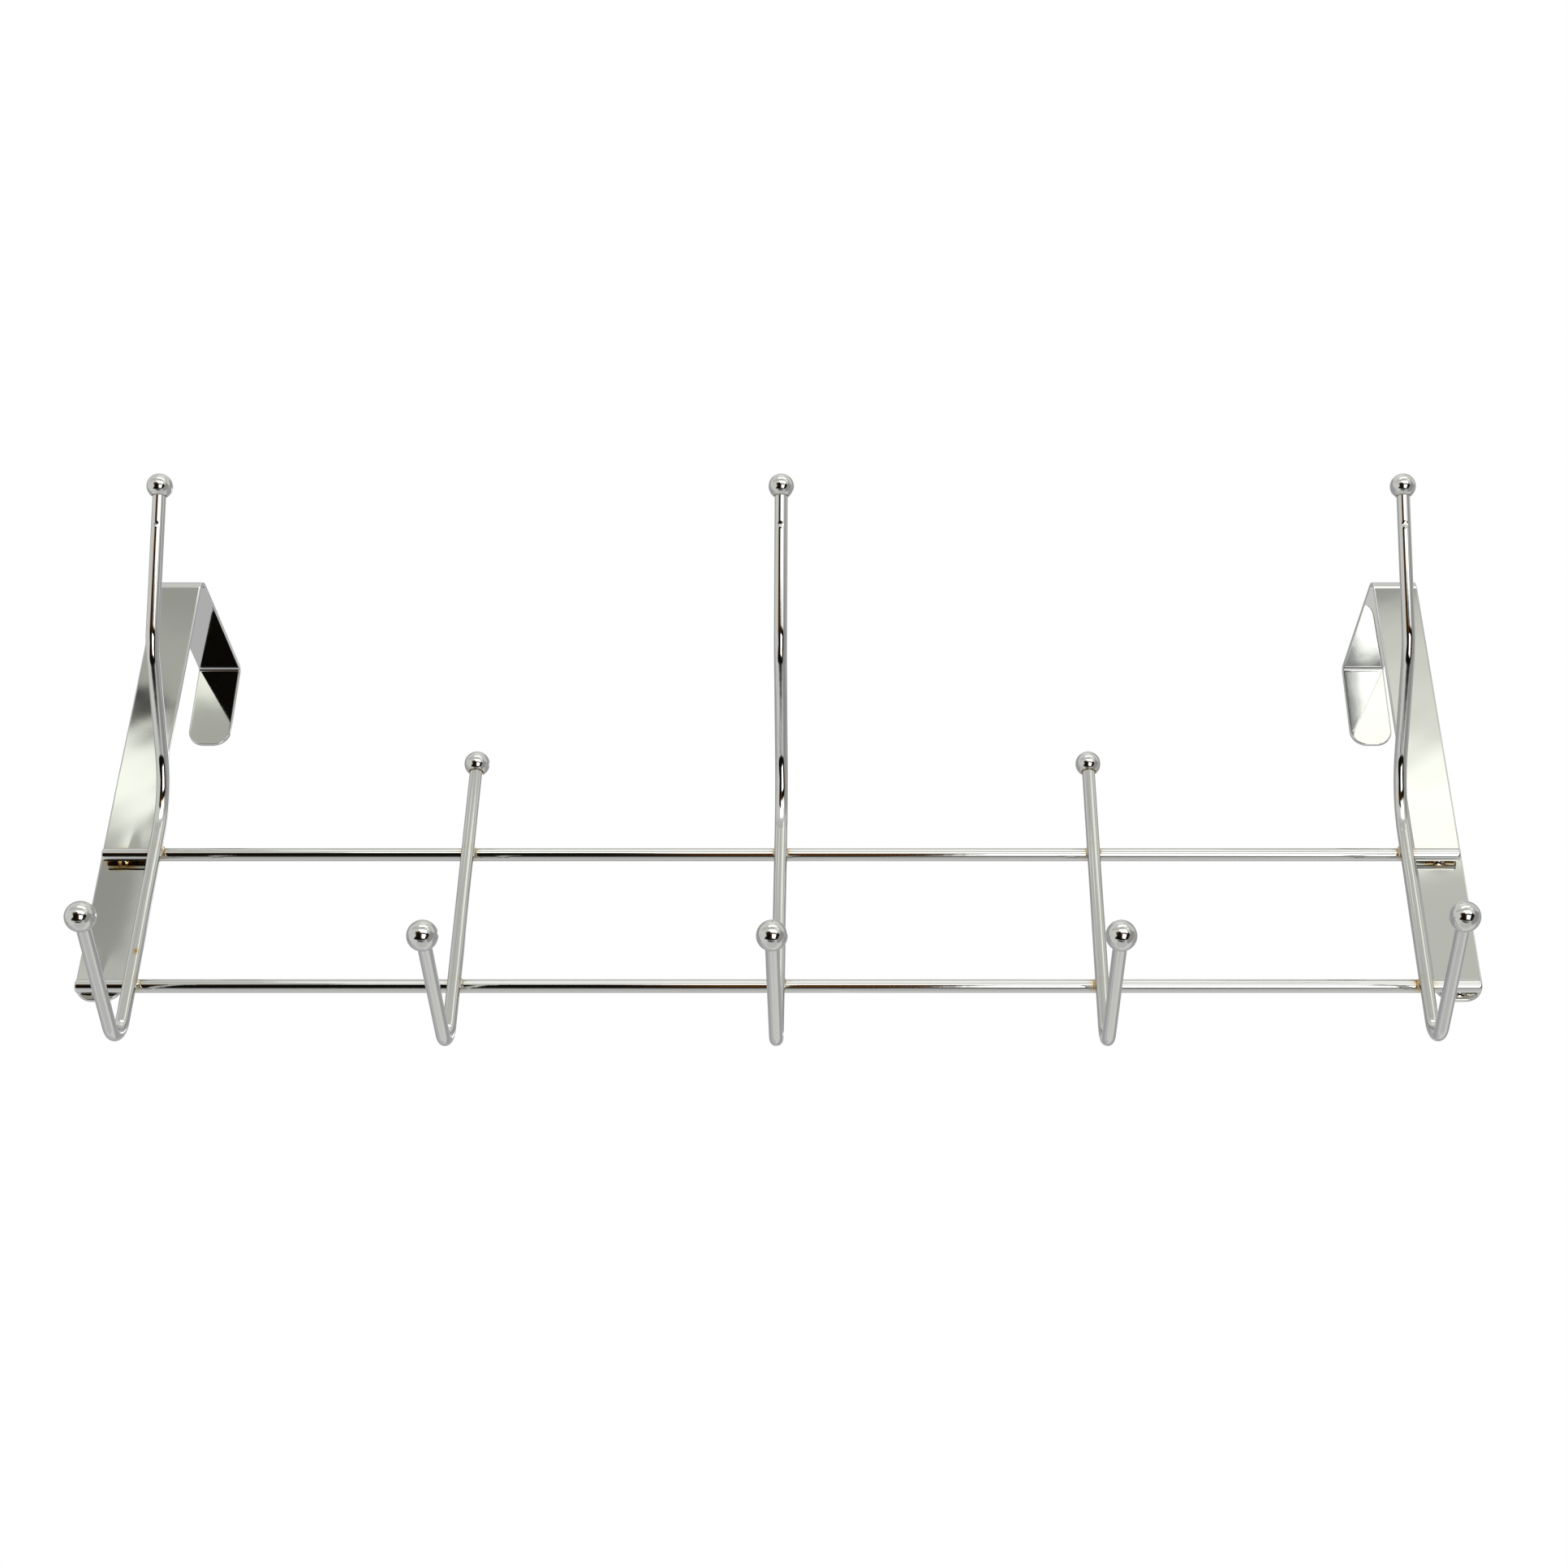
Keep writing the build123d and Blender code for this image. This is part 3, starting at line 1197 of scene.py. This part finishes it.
@dataclass
class Studio:
    """Camera, lamps, light tent, floor and background: none of it is part of the rack."""

    # The camera
    eye: tuple[float, float, float] = (20.717, -526.358, -390.512)
    look_up: float = 31.294
    lens: float = 50.115
    sensor: float = 36.0
    shift_x: float = -0.04628
    # The floor, and how far it is kept white to the eye
    floor_z: float = -2000.0
    floor_half: float = 9000.0
    floor_paint: str = "#F6F6F4"
    floor_glow: float = 0.6
    # The tent and the spans of its grid, close where the straps and balls mirror it
    middle: tuple[float, float, float] = (0.0, -20.0, -90.0)
    tent_radius: float = 1500.0
    fabric: str = "#FBFBF7"
    tent_rows: tuple[tuple[float, float, float], ...] = (
        (-89.9, 89.9, 1.0),
        (19.0, 39.0, 0.12),
        (-42.0, -18.0, 0.25),
    )
    tent_turns: tuple[tuple[float, float, float], ...] = (
        (-180.0, 180.0, 1.2),
        (-35.0, -24.0, 0.12),
        (18.0, 31.0, 0.12),
    )
    # The open front: its left side steps out below, its top sinks towards the sides, and its
    # edges are soft
    front_left: tuple[float, float] = (-40.0, -66.0)
    front_left_step: tuple[float, float] = (-24.0, -34.0)
    front_right: float = 60.0
    front_side_edge: float = 4.0
    front_top: float = 2.0
    front_top_sink: float = 16.0
    front_top_sink_span: tuple[float, float] = (35.0, 78.0)
    front_top_edge: float = 1.5
    front_rim: float = -60.3
    front_rim_edge: tuple[float, float] = (2.7, 1.0)
    lamp_distance: float = 1350.0
    lamps: tuple[Softbox, ...] = (
        Softbox("top_softbox", -40.0, 40.0, 58.0, 86.0, 0.25),
        Softbox("low_strip_softbox", -23.0, 39.0, 3.0, 15.0, 1.6),
        Softbox("high_strip_softbox", -30.0, 46.0, 40.0, 53.0, 1.5),
    )
    # Greyer and brighter parts of the fabric: sides, floor, back and front above the opening
    panels: tuple[Panel, ...] = (
        Panel(-180.0, -104.0, -25.0, 62.0, "#F7F7FA", 0.58, 14.0),
        Panel(104.0, 180.0, -25.0, 62.0, "#F7F7FA", 0.58, 14.0),
        Panel(-180.0, 180.0, -90.0, -58.0, "#F7F7F8", 0.85, 10.0),
        Panel(-180.0, -110.0, -45.0, -20.0, "#F4F4F6", 0.82, 8.0),
        Panel(58.0, 100.0, -55.0, 18.0, "#F4F4F2", 0.5, 8.0),
        Panel(-75.0, 75.0, 18.0, 37.0, "#F4F4F0", 0.85, 5.0),
        Panel(34.0, 54.0, 20.0, 32.0, "#FFFFF6", 1.5, 3.0),
        Panel(150.0, 172.0, 26.0, 33.5, WHITE, 2.0, 1.0),
    )
    # Strips of light that the two straps' legs mirror, and a dark fold across one of them
    columns: tuple[Column, ...] = (
        Column(
            -34.0,
            -27.85,
            "#FDFFF6",
            (
                (20.0, 0.9),
                (22.7, 0.9),
                (23.3, 0.5),
                (26.3, 0.48),
                (26.8, 0.85),
                (28.7, 1.75),
                (30.2, 1.6),
                (31.8, 0.35),
                (32.4, 0.67),
                (34.2, 0.65),
                (35.4, 0.54),
                (41.0, 0.54),
            ),
        ),
        Column(
            -27.75,
            -25.2,
            "#FDFFF4",
            ((26.5, 0.64), (28.5, 0.68), (29.1, 1.5), (30.5, 1.6)),
        ),
        Column(
            21.0,
            28.5,
            "#FEFFF7",
            (
                (20.0, 0.85),
                (26.6, 0.86),
                (27.4, 1.8),
                (29.7, 2.0),
                (31.7, 1.25),
                (34.5, 1.07),
                (36.3, 0.87),
                (36.6, 0.55),
                (42.0, 0.55),
            ),
        ),
    )
    fold: Panel = Panel(-34.0, -28.75, 31.1, 32.5, "#F6F8EE", 0.1, 0.9)
    # Cloths below the open front, whose low and high are degrees down from its rim
    cloths: tuple[Panel, ...] = (
        Panel(-52.0, 6.0, 3.5, 15.0, DARK_ROOM, 1.0, 2.0),
        Panel(7.0, 45.0, 4.0, 18.0, "#F4F4F2", 0.3, 2.0),
    )
    # Warm wood inside the open front
    woods: tuple[Panel, ...] = (
        Panel(-6.5, 5.0, -48.0, -6.0, WARM_WOOD, 0.25, 5.0),
        Panel(-44.0, -22.0, -9.0, 1.0, WARM_WOOD, 0.3, 6.0),
        Panel(56.0, 63.0, -32.0, 0.0, WARM_WOOD, 0.5, 3.0),
    )
    # A bright window in the room, with its bars
    window: tuple[Panel, ...] = (
        Panel(6.0, 33.0, -46.0, -18.0, WHITE, 4.0, 1.5),
        Panel(-6.5, 40.0, -7.0, 4.0, WHITE, 2.2, 3.0),
        Panel(20.6, 22.45, -29.0, -19.0, "#F4F4FA", 0.65, 0.3),
        Panel(24.2, 26.05, -41.0, -33.0, "#F4F4FA", 0.65, 0.3),
        Panel(25.8, 28.5, -36.6, -33.5, DARK_ROOM, 1.0, 0.3),
    )

    def direction(self, azimuth: np.ndarray, elevation: np.ndarray) -> np.ndarray:
        """Turn azimuths and elevations in degrees into unit vectors."""
        a, e = np.radians(azimuth), np.radians(elevation)
        return np.stack([np.sin(a) * np.cos(e), -np.cos(a) * np.cos(e), np.sin(e)], axis=-1)

    def rim(self, azimuth: np.ndarray) -> np.ndarray:
        """Find the elevation of the open front's lower rim.

        The rim is a straight edge and so a great circle: the tangent of its elevation is that of
        its lowest point times the cosine of the azimuth.

        Args:
            azimuth: Azimuths in degrees.

        Returns:
            Elevations in degrees.
        """
        slope = math.tan(math.radians(self.front_rim))
        return np.degrees(np.arctan(slope * np.cos(np.radians(azimuth))))

    def open_front(self, azimuth: np.ndarray, elevation: np.ndarray) -> np.ndarray:
        """Find how much of the open front shows in each direction.

        It is the product of four smooth steps: up from the rim, down at the top, which sinks
        towards the sides, in from the left, which steps out below, and in from the right.

        Args:
            azimuth: Azimuths in degrees.
            elevation: Elevations in degrees.

        Returns:
            Shares from 0 to 1.
        """
        rim = self.rim(azimuth)
        below, above = self.front_rim_edge
        sink = smooth_step(*self.front_top_sink_span, np.abs(azimuth))
        top = self.front_top - self.front_top_sink * sink
        high, low = self.front_left
        left = high + (low - high) * smooth_step(*self.front_left_step, elevation)
        lid, side = self.front_top_edge, self.front_side_edge
        return (
            smooth_step(rim - below, rim + above, elevation)
            * smooth_step(top + lid, top - lid, elevation)
            * smooth_step(-side, side, azimuth - left)
            * smooth_step(side, -side, azimuth - self.front_right)
        )

    def tent_light(self, azimuth: np.ndarray, elevation: np.ndarray) -> np.ndarray:
        """Find the light of the tent's inside in each direction.

        Each layer is blended over the last by how much of it shows: white fabric, its panels, the
        strips of light, the dark room behind the open front, the cloths below the rim, the wood
        inside the front and the window.

        Args:
            azimuth: Azimuths in degrees.
            elevation: Elevations in degrees.

        Returns:
            Linear red, green, blue and alpha in the last axis.
        """
        light = np.broadcast_to(np.array(linear(self.fabric)), (*azimuth.shape, 4)).copy()

        def lay(cover: np.ndarray, shade: np.ndarray) -> None:
            """Blend a light over what is there, by how much of it shows."""
            light[...] = light * (1 - cover[..., None]) + shade * cover[..., None]

        for panel in self.panels:
            lay(panel.cover(azimuth, elevation), panel.light())
        for column in self.columns:
            lay(column.cover(azimuth, elevation), column.light(elevation))
        lay(self.fold.cover(azimuth, elevation), self.fold.light())
        front = self.open_front(azimuth, elevation)
        lay(front, np.array(linear(DARK_ROOM)))
        for cloth in self.cloths:
            lay(cloth.cover(azimuth, self.rim(azimuth) - elevation), cloth.light())
        for wood in self.woods:
            lay(front * wood.cover(azimuth, elevation), wood.light())
        for pane in self.window:
            lay(pane.cover(azimuth, elevation), pane.light())
        return light

    def add_tent(self) -> None:
        """Set a light tent round the rack that only reflections see.

        It is a ball of white fabric, lit from behind, with what lies behind its open front drawn on
        it; the eye sees it in the chrome as bright fields with dark edges.
        """
        turns, rows = graded(*self.tent_turns), graded(*self.tent_rows)
        azimuth, elevation = np.meshgrid(turns, rows, indexing="ij")
        points = np.array(self.middle) + self.tent_radius * self.direction(azimuth, elevation)
        index = np.arange(azimuth.size).reshape(azimuth.shape)
        quads = np.stack(
            [index[:-1, :-1], index[:-1, 1:], index[1:, 1:], index[1:, :-1]], axis=-1
        ).reshape(-1, 4)
        mesh = bpy.data.meshes.new("light_tent")
        mesh.from_pydata((points.reshape(-1, 3) * MM).tolist(), [], quads.tolist())
        glow = mesh.attributes.new(GLOW_NAME, "FLOAT_COLOR", "POINT")
        light = self.tent_light(azimuth, elevation).astype(np.float32)
        glow.data.foreach_set("color", light.ravel())
        tent = bpy.data.objects.new("light_tent", mesh)
        bpy.context.scene.collection.objects.link(tent)
        tent.visible_camera = False
        tent.visible_shadow = False
        tent.visible_diffuse = False
        made = bpy.data.materials.new("lit_tent_fabric")
        made.use_nodes = True
        tree = made.node_tree
        tree.nodes.clear()
        colour = add_node(tree, "ShaderNodeAttribute", attribute_name=GLOW_NAME).outputs["Color"]
        shader = add_node(tree, "ShaderNodeEmission", {"Color": colour, "Strength": 1.0})
        add_node(tree, "ShaderNodeOutputMaterial", {"Surface": shader.outputs["Emission"]})
        mesh.materials.append(made)

    def add_lamps(self) -> None:
        """Hang the soft lamps inside the tent, each facing the rack.

        A lamp's power is the light of its face times pi times its area.
        """
        middle = np.array(self.middle)
        for box in self.lamps:
            azimuth, elevation = (box.left + box.right) / 2, (box.low + box.high) / 2
            way = self.direction(np.array(azimuth), np.array(elevation))
            wide = 2 * self.lamp_distance * math.tan(math.radians(box.right - box.left) / 2)
            wide *= math.cos(math.radians(elevation))
            tall = 2 * self.lamp_distance * math.tan(math.radians(box.high - box.low) / 2)
            lamp = bpy.data.lights.new(box.name, "AREA")
            lamp.shape = "RECTANGLE"
            lamp.size, lamp.size_y = wide * MM, tall * MM
            lamp.energy = box.level * math.pi * lamp.size * lamp.size_y
            holder = bpy.data.objects.new(box.name, lamp)
            holder.location = Vector((middle + self.lamp_distance * way) * MM)
            holder.rotation_euler = Vector(way).to_track_quat("Z", "Y").to_euler()
            holder.visible_camera = False
            bpy.context.scene.collection.objects.link(holder)

    def add_floor(self) -> None:
        """Lay a plain pale floor a door's height below.

        Matt white paint, which the eye sees as an even pale ground with a soft shadow: part of its
        light to the camera and in reflections is its own.
        """
        half = self.floor_half
        corners = [(-half, -half), (half, -half), (half, half), (-half, half)]
        mesh = bpy.data.meshes.new("floor")
        mesh.from_pydata(
            [(x * MM, y * MM, self.floor_z * MM) for x, y in corners], [], [(0, 1, 2, 3)]
        )
        floor = bpy.data.objects.new("floor", mesh)
        bpy.context.scene.collection.objects.link(floor)
        made = bpy.data.materials.new("white_painted_floor")
        made.use_nodes = True
        tree = made.node_tree
        tree.nodes.clear()
        rays = add_node(tree, "ShaderNodeLightPath").outputs
        bounced = add_node(
            tree,
            "ShaderNodeMath",
            {0: rays["Is Glossy Ray"], 1: rays["Is Transmission Ray"]},
            operation="MAXIMUM",
        ).outputs["Value"]
        seen = add_node(
            tree,
            "ShaderNodeMath",
            {0: rays["Is Camera Ray"], 1: bounced},
            operation="MAXIMUM",
        ).outputs["Value"]
        share = add_node(
            tree, "ShaderNodeMath", {0: seen, 1: self.floor_glow}, operation="MULTIPLY"
        )
        matt = add_node(tree, "ShaderNodeBsdfDiffuse", {"Color": linear(self.floor_paint)})
        bright = add_node(tree, "ShaderNodeEmission", {"Color": linear(WHITE)})
        mixed = add_node(
            tree,
            "ShaderNodeMixShader",
            {"Fac": share.outputs["Value"], 1: matt.outputs["BSDF"], 2: bright.outputs["Emission"]},
        )
        add_node(tree, "ShaderNodeOutputMaterial", {"Surface": mixed.outputs["Shader"]})
        mesh.materials.append(made)

    def add_background(self) -> None:
        """Give the scene an even white world."""
        world = bpy.data.worlds.new("white_background")
        world.use_nodes = True
        tree = world.node_tree
        tree.nodes.clear()
        light = add_node(tree, "ShaderNodeBackground", {"Color": linear(WHITE), "Strength": 1.0})
        add_node(tree, "ShaderNodeOutputWorld", {"Surface": light.outputs["Background"]})
        bpy.context.scene.world = world

    def add_camera(self) -> None:
        """Put the camera where the photograph was taken from: in front of the rack and below it."""
        data = bpy.data.cameras.new("photograph_view")
        data.sensor_width = self.sensor
        data.lens = self.lens
        data.shift_x = self.shift_x
        camera = bpy.data.objects.new("photograph_view", data)
        camera.location = Vector(self.eye) * MM
        camera.rotation_euler = (math.radians(90.0 + self.look_up), 0.0, 0.0)
        bpy.context.scene.collection.objects.link(camera)
        bpy.context.scene.camera = camera

    def build(self) -> None:
        """Set up everything round the rack."""
        bpy.context.scene.view_settings.view_transform = "Standard"
        self.add_background()
        self.add_floor()
        self.add_tent()
        self.add_lamps()
        self.add_camera()


def main() -> None:
    """Load the frame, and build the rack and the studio."""
    logging.basicConfig(level=logging.INFO, format="%(name)s %(message)s")
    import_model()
    wardrobe = Wardrobe()
    Straps().build(wardrobe)
    Rails().build(wardrobe)
    Hooks().build(wardrobe)
    Studio().build()


if __name__ == "__main__":
    main()
